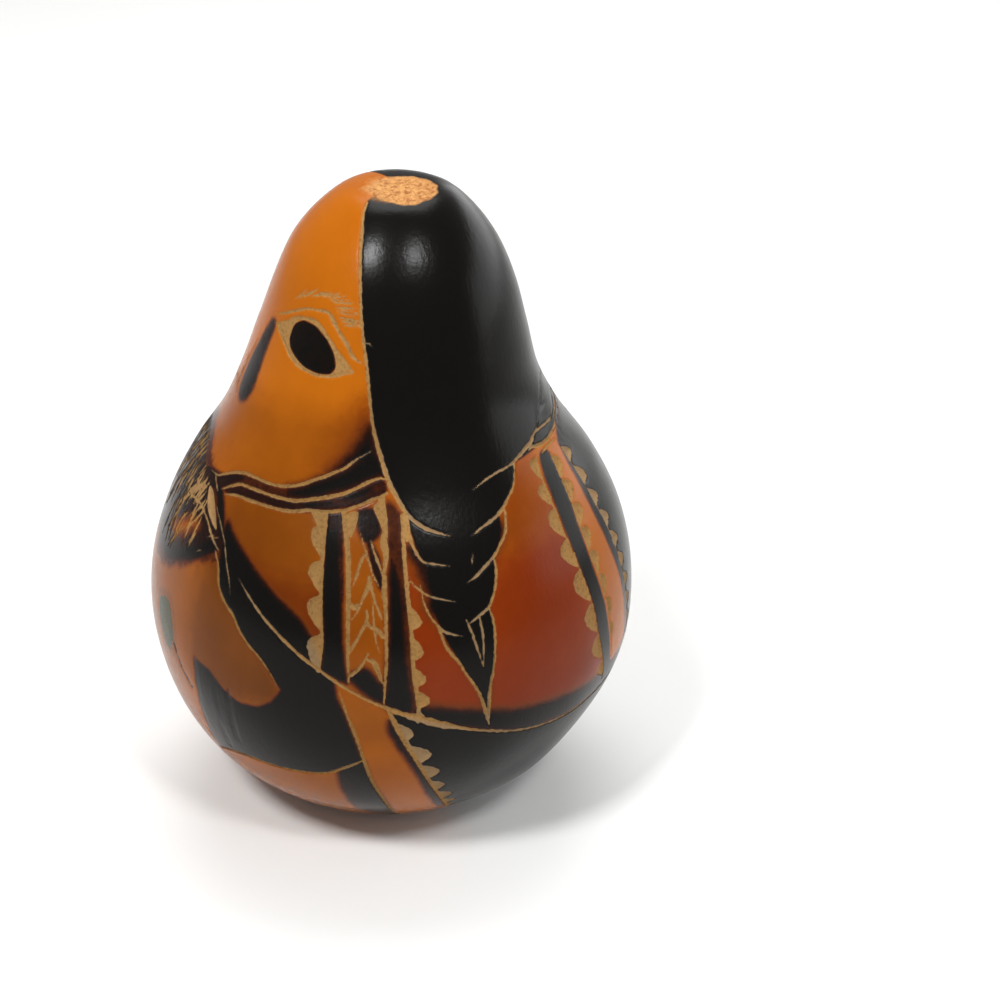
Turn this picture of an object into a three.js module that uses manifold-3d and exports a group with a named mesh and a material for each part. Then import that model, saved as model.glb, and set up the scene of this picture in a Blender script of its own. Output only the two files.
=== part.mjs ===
// A carved gourd: one dried pear-shaped gourd, cut all round with the figure of a woman with two
// braids, a bordered shawl and a bundle held to the chest. Millimetres, +Z up. The face looks
// along -Y and the figure's left side along +X. The origin is the middle of the small flat spot
// that the gourd stands on.

import * as THREE from "three";
import { mergeVertices } from "three/addons/utils/BufferGeometryUtils.js";
import Module from "manifold-3d";

const wasm = await Module();
wasm.setup();

// Driving dimensions
const height = 121.5;
const bellyRadius = 45;
const restSpotRadius = 11;
const scarRadius = 6.3; // the corky disc left where the stem was cut off
const scarDepth = 0.8;
const scarOffset = [3.4, 0.8]; // the stem grew a little to the figure's left
const lineWidth = 0.9;
const lineDepth = 0.5;
const gougeLength = 2.6; // the gouged teeth along the borders
const gougeWidth = 3.4;
const gougeDepth = 0.45;

// Fineness of the faceted skin and of the cuts
const facetsAround = 40;
const facetsUp = 27;
const cutStep = 11;
const cutRise = 1; // how far a cutter stands out of the skin

// Side outline from the rest spot to the stem. Each row is the share of bellyRadius, the share of
// height, and how far the gourd has grown over towards the back there, in mm.
const outline = [
  [0.431, 0.013, 0.1],
  [0.611, 0.054, 0.3],
  [0.793, 0.119, 0.7],
  [0.929, 0.206, 1.1],
  [1.0, 0.3, 1.4],
  [0.998, 0.395, 1.6],
  [0.938, 0.481, 1.7],
  [0.833, 0.56, 1.6],
  [0.698, 0.634, 1.1],
  [0.6, 0.708, 0.6],
  [0.54, 0.782, 0.8],
  [0.476, 0.856, 1.1],
  [0.4, 0.918, 1.2],
  [0.296, 0.967, 1.3],
  [0.184, 0.994, 1.3],
  [0, 1, 1.3],
];

// The drawing. Each point is degrees round from +X, where -90 is the middle of the face and 90 the
// middle of the back, and mm up the skin from the rest spot's middle, on a skin this long.
const drawnSkin = 167.8;
const oneSide = {
  hairEdge: [[-35, 157], [-25, 151.5], [-17, 140], [-11, 130], [-6, 119.5], [0, 109], [7, 103], [16, 100.3]],
  upperLid: [[-63, 132], [-49, 135], [-36, 135.5], [-26, 132.5], [-15.5, 128.5]],
  lowerLid: [[-61, 131.6], [-51, 129.2], [-38, 126.9], [-26, 127.3], [-17, 128.4]],
  lidCrease: [[-62, 134.5], [-44, 137.4], [-31, 137.6], [-21, 133.6], [-13, 130.3]],
  nostril: [[-85, 119.6], [-80, 123.5], [-76, 128]],
  jaw: [[-72, 101.7], [-60, 103], [-45, 105.8], [-30, 107.4], [-18, 111], [-6.5, 115.3]],
  collarTop: [[-70, 99.6], [-52, 103.2], [-35, 104.3], [-20, 106.5], [-4, 110.6]],
  collarEdge: [[-68, 98.4], [-50, 101.2], [-35, 102.2], [-20, 104], [-3, 107.6]],
  frontBandA: [[-19.5, 103.6], [-17.8, 91], [-16, 77]],
  frontBandB: [[-14, 104], [-11.3, 91], [-9.4, 75]],
  frontBandC: [[-2.5, 107], [-2, 91], [-1.4, 71]],
  frontBandD: [[2.9, 104.4], [3.6, 91], [6.1, 69]],
  weaveUpper: [[-11, 92.5], [-7.3, 98], [-3, 91.5]],
  weaveMiddle: [[-10.4, 86], [-6.2, 92.4], [-2.2, 86]],
  weaveLower: [[-10, 75.5], [-5.4, 80.1], [-1.6, 75]],
  shawlEdge: [[42, 110], [60, 113], [75, 118], [86, 120.6]],
  shawlTop: [[26, 107.5], [44, 110], [62, 110.3], [85, 111.5]],
  braidUpper: [[22, 100], [33.5, 103.2], [43.5, 109.6]],
  braidMiddle: [[18.5, 92], [27, 95.8], [32, 99.3], [34, 103]],
  braidLower: [[18.5, 85], [23.5, 87.5], [26, 91.5], [27, 95.5]],
  braidTwistA: [[4, 102.5], [7.5, 96.5], [14.5, 95.2]],
  braidTwistB: [[3.8, 93.3], [9, 90.5], [15, 89]],
  tailLeft: [[6.5, 92], [10.5, 85], [15, 78], [23, 64.8]],
  tailRight: [[23.3, 87], [24, 80], [23.2, 66]],
  tailTie: [[17.3, 85.5], [20.6, 77.5], [20.9, 85]],
  backBandA: [[54.5, 108.8], [51.3, 95], [54.3, 80], [62, 61.5]],
  backBandB: [[66.8, 105], [66, 95], [68.5, 85], [71, 72]],
  ribbonFront: [[-11, 71.8], [-6.5, 60.5], [-3.5, 51], [3, 35]],
  ribbonBack: [[1, 68], [7, 57], [13, 47], [20, 37]],
  skirtEdge: [[-50, 47.2], [-38, 50], [-20, 51], [-6, 57]],
  handTop: [[-50, 89], [-45, 84.6], [-37, 79.3], [-25.8, 70.8]],
  handUnder: [[-52, 72.5], [-45, 70], [-36, 66.3], [-27, 69.3]],
  bundleEdge: [[-84, 97], [-64, 95.8], [-49, 91], [-41, 85]],
};
// The hem of the shawl goes all the way round.
const hem = [[-90, 100], [-62, 96], [-39, 87.7], [-20.5, 78], [-1, 70], [20, 63.5], [46, 59.3], [90, 58.5]];
// Border lines with gouged teeth: how many teeth, and 1 where they point to the back.
const toothedEdges = [
  { line: "frontBandA", teeth: 5, towards: -1, from: 0, to: 0.88 },
  { line: "frontBandD", teeth: 5, towards: 1, from: 0.42, to: 0.97 },
  { line: "backBandA", teeth: 7, towards: -1, from: 0.06, to: 0.86 },
  { line: "backBandB", teeth: 5, towards: 1, from: 0, to: 0.95 },
  { line: "ribbonBack", teeth: 6, towards: 1, from: 0.08, to: 0.97 },
];

// The side outline by length along the skin. The last stretch runs on over the crown to a mirrored
// point, so that the crown is round, and the first is the flat rest spot.
function sideCurve() {
  const points = outline.map(([r, z, lean]) => new THREE.Vector3(r * bellyRadius, z * height, lean));
  const beyond = points.at(-2).clone();
  beyond.x *= -1;
  const rim = new THREE.Vector3(restSpotRadius, 0, 0);
  const spline = new THREE.CatmullRomCurve3([rim, ...points, beyond], false, "catmullrom", 0.5);
  const fine = 100;
  const path = [new THREE.Vector3(0, 0, 0)];
  for (let i = 0; i <= fine * points.length; i++) {
    path.push(spline.getPoint(i / (fine * (points.length + 1))));
  }
  let along = 0;
  return path.map((point, i) => {
    along += i ? point.distanceTo(path[i - 1]) : 0;
    return { along, radius: Math.max(point.x, 0), z: point.y, lean: point.z };
  });
}
const side = sideCurve();
const skinLength = side.at(-1).along;

// A point of the skin from degrees round and a share of the skin's length.
function skin(degrees, share) {
  const along = THREE.MathUtils.clamp(share, 0, 1) * skinLength;
  const next = Math.max(1, side.findIndex((row) => row.along >= along));
  const [low, high] = [side[next - 1], side[next]];
  const mix = (along - low.along) / (high.along - low.along);
  const angle = THREE.MathUtils.degToRad(degrees);
  const radius = THREE.MathUtils.lerp(low.radius, high.radius, mix);
  const lean = THREE.MathUtils.lerp(low.lean, high.lean, mix);
  const z = THREE.MathUtils.lerp(low.z, high.z, mix);
  return new THREE.Vector3(radius * Math.cos(angle), radius * Math.sin(angle) + lean, z);
}

// The skin's outward direction there.
function outward(degrees, share) {
  const small = 0.004;
  const across = skin(degrees + 1, share).sub(skin(degrees - 1, share));
  const up = skin(degrees, share + small).sub(skin(degrees, share - small));
  return across.cross(up).normalize();
}

// A closed solid from a list of points and a list of triangles.
function solid(vertices, triangles) {
  return new wasm.Manifold(new wasm.Mesh({
    numProp: 3,
    vertProperties: new Float32Array(vertices.flatMap((vertex) => vertex.toArray())),
    triVerts: new Uint32Array(triangles.flat()),
  }));
}

// The whole gourd before carving: rings of the skin, closed at both poles.
function plainGourd() {
  const vertices = [skin(0, 0)];
  const spotShare = restSpotRadius / skinLength;
  for (let ring = 0; ring < facetsUp; ring++) {
    const share = spotShare + ((1 - spotShare) * ring) / facetsUp;
    for (let k = 0; k < facetsAround; k++) vertices.push(skin((360 * k) / facetsAround, share));
  }
  vertices.push(skin(0, 1));
  const at = (ring, k) => 1 + ring * facetsAround + (k % facetsAround);
  const triangles = [];
  for (let k = 0; k < facetsAround; k++) {
    triangles.push([0, at(0, k + 1), at(0, k)]);
    triangles.push([vertices.length - 1, at(facetsUp - 1, k), at(facetsUp - 1, k + 1)]);
    for (let ring = 0; ring < facetsUp - 1; ring++) {
      triangles.push([at(ring, k), at(ring, k + 1), at(ring + 1, k + 1)]);
      triangles.push([at(ring, k), at(ring + 1, k + 1), at(ring + 1, k)]);
    }
  }
  return solid(vertices, triangles);
}

// A V-shaped cutter along a line of the drawing. Its width and depth run out at both ends, over
// fadeIn and fadeOut mm, as a graver's cut does.
function cutter(points, { width = lineWidth, depth = lineDepth, fadeIn = 4, fadeOut = 4, step = cutStep } = {}) {
  const drawn = new THREE.SplineCurve(points.map(([a, s]) => new THREE.Vector2(a, s / drawnSkin)));
  const rough = drawn.getPoints(6 * points.length).map(({ x, y }) => skin(x, y));
  const length = rough.reduce((sum, point, i) => sum + (i ? point.distanceTo(rough[i - 1]) : 0), 0);
  const narrowest = Math.min(...rough.map((point) => Math.hypot(point.x, point.y)));
  const reach = step * Math.max(0.35, narrowest / bellyRadius); // shorter steps where the gourd is slim
  const steps = Math.max(2, Math.round(length / reach));
  const vertices = [];
  for (let i = 0; i <= steps; i++) {
    const t = i / steps;
    const here = drawn.getPoint(t);
    const ahead = drawn.getPoint(Math.min(1, t + 0.01));
    const behind = drawn.getPoint(Math.max(0, t - 0.01));
    const along = skin(ahead.x, ahead.y).sub(skin(behind.x, behind.y)).normalize();
    const up = outward(here.x, here.y);
    const sideways = new THREE.Vector3().crossVectors(along, up).normalize();
    const strength = Math.min(1, 0.15 + (t * length) / fadeIn, 0.15 + ((1 - t) * length) / fadeOut);
    const deep = depth * strength;
    const half = (width / 2) * strength * (1 + cutRise / deep);
    const place = skin(here.x, here.y);
    vertices.push(place.clone().addScaledVector(up, -deep));
    vertices.push(place.clone().addScaledVector(up, cutRise).addScaledVector(sideways, half));
    vertices.push(place.clone().addScaledVector(up, cutRise).addScaledVector(sideways, -half));
  }
  const triangles = [[0, 1, 2]];
  for (let i = 0; i < steps; i++) {
    for (let k = 0; k < 3; k++) {
      const [a, b] = [3 * i + k, 3 * i + ((k + 1) % 3)];
      triangles.push([a, a + 3, b + 3], [a, b + 3, b]);
    }
  }
  const last = 3 * steps;
  triangles.push([last, last + 2, last + 1]);
  return solid(vertices, triangles);
}

// Gouged teeth along a border line: evenly spaced short wide cuts that point sideways from it.
function toothCutters(points, { teeth, towards, from, to }) {
  const drawn = new THREE.SplineCurve(points.map(([a, s]) => new THREE.Vector2(a, s)));
  return Array.from({ length: teeth }, (_, i) => {
    const { x: a, y: s } = drawn.getPointAt(from + ((to - from) * (i + 0.5)) / teeth);
    const place = skin(a, s / drawnSkin);
    const reach = THREE.MathUtils.radToDeg((towards * gougeLength) / Math.hypot(place.x, place.y));
    const tooth = [[a - 0.1 * reach, s], [a + 0.5 * reach, s], [a + reach, s]];
    return cutter(tooth, { width: gougeWidth, depth: gougeDepth, fadeIn: 0.1, fadeOut: 2.2, step: 1.5 });
  });
}

// The stem scar: a shallow round recess with a slightly domed floor.
function scarCutter() {
  const middle = new THREE.Vector3(scarOffset[0], outline.at(-1)[2] + scarOffset[1], 0);
  const tilt = outward(0, 1 - middle.x / skinLength);
  const floor = height - scarDepth - 0.5 * (middle.x / scarRadius);
  const ring = [
    [0, floor + 0.3],
    [0.6 * scarRadius, floor + 0.1],
    [0.9 * scarRadius, floor + 0.2],
    [scarRadius * 1.04, floor + 2 * scarDepth],
    [scarRadius * 1.04, height + 4],
    [0, height + 4],
  ];
  const lathe = new THREE.LatheGeometry(ring.map(([r, z]) => new THREE.Vector2(r, z)), 24);
  lathe.deleteAttribute("normal");
  lathe.deleteAttribute("uv");
  const merged = mergeVertices(lathe, 1e-4);
  const position = merged.attributes.position;
  const turn = new THREE.Quaternion().setFromUnitVectors(new THREE.Vector3(0, 0, 1), tilt);
  const vertices = Array.from({ length: position.count }, (_, i) => {
    const vertex = new THREE.Vector3(position.getX(i), position.getZ(i), position.getY(i) - floor);
    return vertex.applyQuaternion(turn).add(new THREE.Vector3(middle.x, middle.y, floor));
  });
  const corners = Array.from(merged.index.array);
  const triangles = [];
  for (let i = 0; i < corners.length; i += 3) {
    const [a, b, c] = corners.slice(i, i + 3);
    if (a !== b && b !== c && c !== a) triangles.push([a, c, b]);
  }
  return solid(vertices, triangles);
}

// The carved gourd as one solid.
function carvedGourd() {
  const mirrored = (points) => points.map(([a, s]) => [-180 - a, s]);
  const cutters = [scarCutter()];
  for (const points of [...Object.values(oneSide), hem]) {
    cutters.push(cutter(points), cutter(mirrored(points)));
  }
  for (const { line, ...edge } of toothedEdges) {
    cutters.push(...toothCutters(oneSide[line], edge));
    cutters.push(...toothCutters(mirrored(oneSide[line]), { ...edge, towards: -edge.towards }));
  }
  return cutters.reduce((gourd, tool) => gourd.subtract(tool), plainGourd());
}

// A manifold solid as a three.js geometry.
function asGeometry(manifold) {
  const { vertProperties, triVerts } = manifold.getMesh();
  const geometry = new THREE.BufferGeometry();
  geometry.setAttribute("position", new THREE.BufferAttribute(vertProperties, 3));
  geometry.setIndex(new THREE.BufferAttribute(triVerts, 1));
  geometry.computeVertexNormals();
  return geometry;
}

const rind = new THREE.MeshStandardMaterial({ color: 0x9c4d0c, roughness: 0.35, metalness: 0 });
const gourd = new THREE.Mesh(asGeometry(carvedGourd()), rind);
gourd.name = "gourd";

const carvedGourdGroup = new THREE.Group();
carvedGourdGroup.add(gourd);

export default carvedGourdGroup;
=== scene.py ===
import math

import bpy
import numpy as np
from mathutils import Matrix, Vector


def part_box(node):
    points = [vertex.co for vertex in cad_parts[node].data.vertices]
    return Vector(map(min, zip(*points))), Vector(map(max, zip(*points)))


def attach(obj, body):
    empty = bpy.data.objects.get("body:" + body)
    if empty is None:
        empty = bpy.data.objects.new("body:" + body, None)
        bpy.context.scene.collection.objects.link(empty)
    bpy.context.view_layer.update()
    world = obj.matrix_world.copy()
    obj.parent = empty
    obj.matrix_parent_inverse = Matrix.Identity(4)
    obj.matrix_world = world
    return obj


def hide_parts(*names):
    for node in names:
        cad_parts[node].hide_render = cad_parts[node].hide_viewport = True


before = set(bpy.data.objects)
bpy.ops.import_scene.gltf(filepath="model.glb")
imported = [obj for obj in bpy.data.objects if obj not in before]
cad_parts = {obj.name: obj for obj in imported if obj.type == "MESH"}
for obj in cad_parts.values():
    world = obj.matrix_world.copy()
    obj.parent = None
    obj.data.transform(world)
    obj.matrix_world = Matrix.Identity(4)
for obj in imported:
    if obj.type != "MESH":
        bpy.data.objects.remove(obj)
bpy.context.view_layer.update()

halfWidth = 1000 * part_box("gourd")[1].x
print("frame loaded")

# The gourd's plain shape. outline: radius and height in mm and how far the gourd leans to the
# back there, from the edge of the flat spot to the crown.
gourd = {
    "outline": [(11, 0, 0), (19.4, 1.6, .1), (27.5, 6.6, .3), (35.7, 14.5, .7), (41.8, 25, 1.1),
                (45, 36.5, 1.4), (44.9, 48, 1.6), (42.2, 58.5, 1.7), (37.5, 68, 1.6), (31.4, 77, 1.1),
                (27, 86, .6), (24.3, 95, .8), (21.4, 104, 1.1), (18, 111.5, 1.2), (13.3, 117.5, 1.3),
                (8.3, 120.8, 1.3), (0, 121.5, 1.3)],
    "lumpHeight": .12,          # mm, slow swells of the rind
    "lumpLengths": (17, 21, 26, 31, 38),  # mm from swell to swell
    "lumpsBegin": (12, 22),     # mm up the skin, where the swells fade in
    "mirrorWander": (1.1, .5),  # degrees and mm: how far the far side's hand-drawn copy strays
}
# The mesh's edge lengths, in mm
meshing = {
    "finest": .31,          # beside the drawing
    "coarsest": 2.4,        # on plain skin
    "inScar": .45,
    "fineWithin": .35,      # this near to the drawing they stay finest
    "growth": .7,           # how fast they lengthen further away
    "slack": 1.35,          # an edge is halved when it is this many times too long,
    "blend": .25,           # with this share of the difference between its ends allowed on top
    "rounds": 12,
    "quickRounds": 9,
    "burntBorderEase": .75,  # how much further off a burnt border counts than a cut
    "hiddenFrom": 100,      # degrees from +X, past which the photo doesn't show the skin
    "hiddenLonger": 1.3,    # how many times longer they are there
}
# rimWaves: size in mm, count round the rim and start of the sines that make it uneven. fade: the
# part of the scar lost between two places, in mm from its middle, towards the face.
stemScar = {
    "centre": (2.7, 2), "radius": 6.3, "squash": .92, "depth": .35,
    "fibre": .16, "fibreLengths": (.9, 1.1, 1.3, 1.7, 2.1, 2.6, 3.3),
    "rimWaves": [(.22, 3, 1), (.12, 7, 0), (.08, 13, 2)], "fade": (.75, 1, -5),
}


# points of a uniform Catmull-Rom curve: each piece is the cubic through its two middle points
# whose end slopes are half the distance between the neighbours on both sides
def throughPoints(points, perPiece, closed=False):
    p = np.asarray(points, float)
    if closed:
        ring = np.vstack([p[-1:], p, p[:2]])
    else:
        ring = np.vstack([2 * p[0] - p[1], p, 2 * p[-1] - p[-2]])
    t = np.linspace(0, 1, perPiece, endpoint=False)[None, :, None]
    a, b, c, d = (ring[k:len(ring) - 3 + k][:, None, :] for k in range(4))
    bend = (2 * a - 5 * b + 4 * c - d) * t**2
    curve = .5 * (2 * b + (c - a) * t + bend + (3 * b - a - 3 * c + d) * t**3)
    curve = curve.reshape(-1, p.shape[1])
    return curve if closed else np.vstack([curve, p[-1:]])


# 0 up to low, 1 from high on, and 3 t^2 - 2 t^3 between them
def smoothStep(low, high, value):
    t = np.clip((value - low) / (high - low), 0, 1)
    return t * t * (3 - 2 * t)


# side outline as a table over the length along the skin, with every radius scaled so that the
# widest ring fills the frame's box
def sideTable():
    rim = gourd["outline"]
    perPiece = 60
    overTop = (-rim[-2][0], rim[-2][1], rim[-2][2])
    curve = throughPoints(rim + [overTop], perPiece)[:perPiece * (len(rim) - 1) + 1]
    curve = np.vstack([[0, 0, 0], curve])
    along = np.r_[0, np.cumsum(np.hypot(*np.diff(curve[:, :2], axis=0).T))]
    curve[:, 0] *= halfWidth / curve[:, 0].max()
    return along, curve


sideAlong, sideCurve = sideTable()
skinLength = sideAlong[-1]


# skin point = (radius cos angle, radius sin angle + lean, height), all three looked up by length
def skinPoint(angle, along):
    radius, height, lean = (np.interp(along, sideAlong, sideCurve[:, k]) for k in range(3))
    turn = np.radians(angle)
    return np.stack([radius * np.cos(turn), radius * np.sin(turn) + lean, height], -1)


# outward = (change along a parallel) x (change up the skin), made unit length
def skinOutward(angle, along):
    across = skinPoint(angle + .5, along) - skinPoint(angle - .5, along)
    above = skinPoint(angle, np.minimum(along + .4, skinLength))
    normal = np.cross(across, above - skinPoint(angle, np.maximum(along - .4, 0)))
    size = np.linalg.norm(normal, axis=-1, keepdims=True)
    pole = np.zeros_like(normal)
    pole[..., 2] = np.where(along > skinLength / 2, 1, -1)
    return np.where(size > 1e-5, normal / np.maximum(size, 1e-9), pole)


# The drawing. Places are (degrees round from +X, mm up the skin from the rest spot). -90 is the
# middle of the face, 90 the middle of the back, and the far half is a wandering mirror image.
# A carved line also has its width in mm at each point.
carvedLines = {
    "hairEdge": [(-35, 158.5, .5), (-29.6, 155, .6), (-24.7, 151.6, .65), (-19.3, 145, .6),
        (-16.6, 140, .55), (-13.7, 135, .55), (-10.7, 130, .6), (-8.5, 125, .6), (-6.4, 120, .6),
        (-3.6, 115, .8), (-.7, 110, .9), (2, 107, .9), (4, 104.8, .8), (8, 102.5, .7), (11, 101.5, .6),
        (16, 100.3, .1)],
    "upperLid": [(-64, 132, .2), (-55, 133.5, .5), (-49, 135, .6), (-40, 135.8, .5), (-36, 135.5, .45),
        (-32, 134.5, .5), (-28, 133, .6), (-20, 130, .7), (-15.5, 128.5, .2)],
    "lowerLid": [(-63, 131.9, .3), (-58, 131, .5), (-52, 129.5, .6), (-48, 128.3, .6), (-42, 127.2, .5),
        (-33, 126.7, .5), (-25, 127.2, .6), (-20, 128, .6), (-15.5, 128.5, .2)],
    "lidCrease": [(-66, 133.2, .1), (-57, 134.8, .5), (-50, 136.2, .55), (-44, 137.2, .5),
        (-38, 137.6, .45), (-32, 137.7, .7), (-29, 136.8, .9), (-25, 135, .7), (-20, 133, .8),
        (-17, 131.2, .7), (-13, 130.3, .3)],
    "noseSide": [(-76, 127, .1), (-79.5, 122, .3), (-80, 118, .3), (-77, 115.3, .2)],
    "nostril": [(-90, 116.5, .3), (-86, 117, .4), (-82, 116, .3)],
    "jaw": [(-67, 101.7, .1), (-62.8, 102, .4), (-59.8, 103.1, .5), (-56.8, 104.2, .55),
        (-53.3, 105.1, .6), (-49.8, 105.6, .6), (-39.7, 105.9, .55), (-34.7, 106.4, .6), (-30, 107.4, .6),
        (-25.3, 108.9, .6), (-20.7, 110.3, .65), (-16, 111.7, .5), (-12, 113.5, .4), (-6.5, 115.3, .1)],
    "collarTop": [(-57.6, 100.6, .2), (-54.8, 101.9, .5), (-51.8, 103.1, .6), (-48.3, 103.6, .6),
        (-34.7, 104.2, .6), (-30, 104.5, .7), (-25.3, 105.4, .7), (-20.7, 106.3, .7), (-16, 107.3, .7),
        (-11.3, 108.6, .65), (-7.6, 109.9, .6), (-3.8, 110.7, .5), (-1.8, 110.6, .3)],
    "collarEdge": [(-55.3, 100.2, .2), (-51.8, 101, .5), (-47.3, 101.5, .6), (-34.7, 102.2, .6),
        (-30, 102.6, .65), (-25.3, 103.5, .65), (-20.7, 103.8, .6), (-14.1, 104.7, .6), (-9.9, 105.8, .6),
        (-5.7, 107, .6), (-1.5, 108.2, .5)],
    "hem": [(-40, 88.3, .1), (-35, 85.4, .45), (-30, 82.7, .55), (-25, 80.2, .65), (-20.5, 78, .7),
        (-15.5, 75.8, .7), (-10, 73.3, .65), (-5, 71.3, .65), (-1, 70, .75), (1.4, 69.2, 1.15),
        (3, 68.7, .95), (5, 68.1, 1.5), (7, 67.5, 1.3), (9, 66.8, 1.7), (11, 66.1, 1.4),
        (12.6, 65.6, 1.6), (15, 64.9, .85), (20, 63.5, .6), (25, 62.3, .6), (30, 61.2, .55),
        (35, 60.3, .5), (40, 59.7, .45), (46, 59.3, .4), (55, 59.2, .4), (70, 59.3, .4), (90, 59.2, .4)],
    "frontBandB": [(-14.2, 104, 1), (-13.2, 101, .9), (-12, 97.5, .95), (-10.9, 91, .9), (-10.3, 85, .75),
        (-9.8, 79, .6), (-9.4, 74.6, .3)],
    "frontBandC": [(-3.2, 107.3, 1.2), (-2.7, 105, 1), (-1.9, 102.6, .7), (-2.6, 100, 1.3),
        (-2, 97.8, 1.1), (-2.2, 95, .6), (-2.2, 91.5, 1), (-1.7, 88, .7), (-1.5, 84, .65), (-1.2, 79, .6),
        (-1.3, 75, .5), (-1.4, 70.5, .3)],
    "weave1Left": [(-7.1, 98, .34), (-8.4, 96.2, .51), (-9.2, 93.6, .47), (-10, 91.8, .26)],
    "weave1Right": [(-9.4, 101.6, .09), (-8.2, 99.6, .34), (-6.6, 96.8, .42), (-5.2, 94.2, .38),
        (-3.6, 92.2, .26)],
    "weave1Inner": [(-6, 99.8, .26), (-4.8, 97.5, .51), (-3.4, 95.4, .42), (-2.6, 93.6, .26)],
    "weave2Left": [(-5.9, 93.6, .59), (-6.3, 91.8, .77), (-7.4, 89.6, .51), (-8.3, 87.6, .34),
        (-9.6, 86, .26)],
    "weave2Right": [(-5.8, 93.4, .51), (-5, 91, .51), (-3.9, 88.8, .47), (-2.6, 86.6, .42)],
    "weave3Left": [(-6.2, 87.8, .42), (-6, 86.2, .59), (-7.6, 83.4, .59), (-9.4, 80.4, .51)],
    "weave3Right": [(-6, 86.4, .42), (-5.3, 85.2, .51), (-3.4, 84.6, .77), (-2.2, 83.4, .77)],
    "weave3Inner": [(-4.9, 89.6, .17), (-4.5, 86.6, .38), (-3.8, 83, .38), (-2.8, 80.6, .17)],
    "weave4Left": [(-5.4, 80.2, .5), (-6.4, 78.4, .5), (-7.8, 76.9, .7), (-9, 76, .8)],
    "weave4Right": [(-5.4, 79.2, .5), (-4, 78.8, 1), (-3, 77.2, .9), (-2, 75, .5)],
    "weaveStitch": [(-9.9, 88.6, .8), (-9.2, 88.2, .9), (-8.4, 88.9, .3)],
    "shawlEdge": [(26, 107.5, .1), (30, 108.5, .35), (35, 109.3, .4), (42, 109.8, .5), (50.5, 111.1, .8),
        (55.5, 111.8, .8), (59, 112.6, .5), (61.3, 113, .3), (63, 113.6, .1)],
    "shawlSecond": [(57, 112, .2), (60, 112.7, .4), (66, 112.6, .45), (73.2, 112.3, .45),
        (79, 112.5, .15)],
    "shawlTop": [(52.5, 110.6, .2), (54.8, 110.9, .7), (58, 110.4, .8), (64.2, 110.2, .7),
        (69.2, 110.5, .6), (75.8, 110.8, .5), (78.5, 111.8, .4), (85.5, 112.1, .4), (90, 112, .4)],
    "braidUpper": [(22, 99.8, .1), (25, 100.8, .45), (30, 102, .6), (33.5, 103.2, .6), (37, 104.8, .5),
        (40, 106.2, .45), (42, 107.8, .4), (44.2, 110, .4)],
    "braidMiddle": [(18.5, 92, .1), (21, 92.9, .5), (24, 94.3, .6), (27, 95.8, .5), (30, 97.8, .5),
        (32, 99.3, .6), (33, 101, .5), (34, 103, .5)],
    "braidLower": [(18.3, 85, .2), (20, 85.7, .5), (22, 86.6, .55), (23.5, 87.5, .5), (25.3, 90, .5),
        (26.4, 92.5, .55), (26.8, 95.2, .45)],
    "braidTwistA": [(3.4, 104.2, .7), (4.4, 101, .7), (5.8, 98.2, .55), (7.5, 96.4, .4), (10, 95.9, .4),
        (12, 95.6, .3), (14.5, 95.2, .1)],
    "braidTwistB": [(3.5, 94, .2), (5, 92.4, .35), (7, 91.2, .35), (9, 90.3, .4), (12, 89.6, .3),
        (15, 89, .1)],
    "tailLeft": [(6.6, 92.4, .2), (7.3, 89.3, .35), (9, 86.5, .4), (10.5, 85, .5), (11.8, 82, .55),
        (13.3, 80, .6), (15.2, 78, .55), (17, 75.5, .5), (19, 73, .5), (20.5, 70.5, .6),
        (21.8, 67.5, .75), (23, 64.3, .2)],
    "tailTwist": [(10.5, 85, .4), (12, 84, .45), (14, 83.3, .35), (16.2, 82.8, .1)],
    "tailRight": [(23.2, 87.2, .3), (24, 84, .5), (23.9, 80, .5), (23.4, 76, .5), (22.6, 72, .6),
        (22.6, 68, .7), (23, 64.3, .2)],
    "tailTieA": [(17.3, 85.6, .2), (18.5, 83, .5), (19.6, 80, .4), (20.9, 76.6, .2)],
    "tailTieB": [(20.6, 85.6, .4), (21.1, 82, .45), (20.9, 76.8, .2)],
    "braidNick": [(20.4, 95, .1), (20.7, 95.8, .3), (21.2, 96.8, .1)],
    "cheekNick": [(-13, 133.6, .1), (-10.8, 133.8, .25), (-9, 133.2, .1)],
    "backRopeTop": [(58, 108.9, .4), (63, 109.3, .5), (69, 109.2, .3)],
    "skirtEdge": [(-52, 45.8, .2), (-45, 48.5, .35), (-38, 50, .45), (-33, 50.1, .45), (-26, 50.4, .5),
        (-20, 51, .55), (-15, 52, .6), (-12, 53.5, .65), (-9, 55.3, .65), (-5.9, 57.2, .3)],
    "ribbonFront": [(-11.4, 72.4, .2), (-9.6, 68, .55), (-8, 64.5, .6), (-6.5, 60.5, .6),
        (-5.3, 56.5, .65), (-3.5, 51, .6), (-1, 45.5, .5), (1, 41, .45), (3.5, 35, .4), (7.5, 28, .3),
        (12, 22, .1)],
    "handTop": [(-50, 90.6, .3), (-47.4, 88.4, .5), (-45.5, 85.2, .5), (-42.5, 83, .55),
        (-39.5, 81.5, .55), (-37, 79.3, .55), (-34, 77.3, .5), (-31.2, 75.9, .45), (-28, 73.4, .3),
        (-25.6, 70.6, .15)],
    "bundleFront": [(-76, 95.9, .2), (-70, 95.4, .4), (-64, 95.7, .4), (-58, 94.5, .45), (-52, 92, .45),
        (-49, 91, .3)],
    "bundleTie": [(-64.5, 102, .2), (-61.5, 100.8, .35), (-58.8, 99.8, .2)],
    "sleeveEdge": [(-56, 97.4, .15), (-52, 95.4, .3), (-48, 92.8, .3), (-45, 89.6, .3), (-43, 87.4, .3),
        (-41.5, 85, .1)],
}
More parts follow.
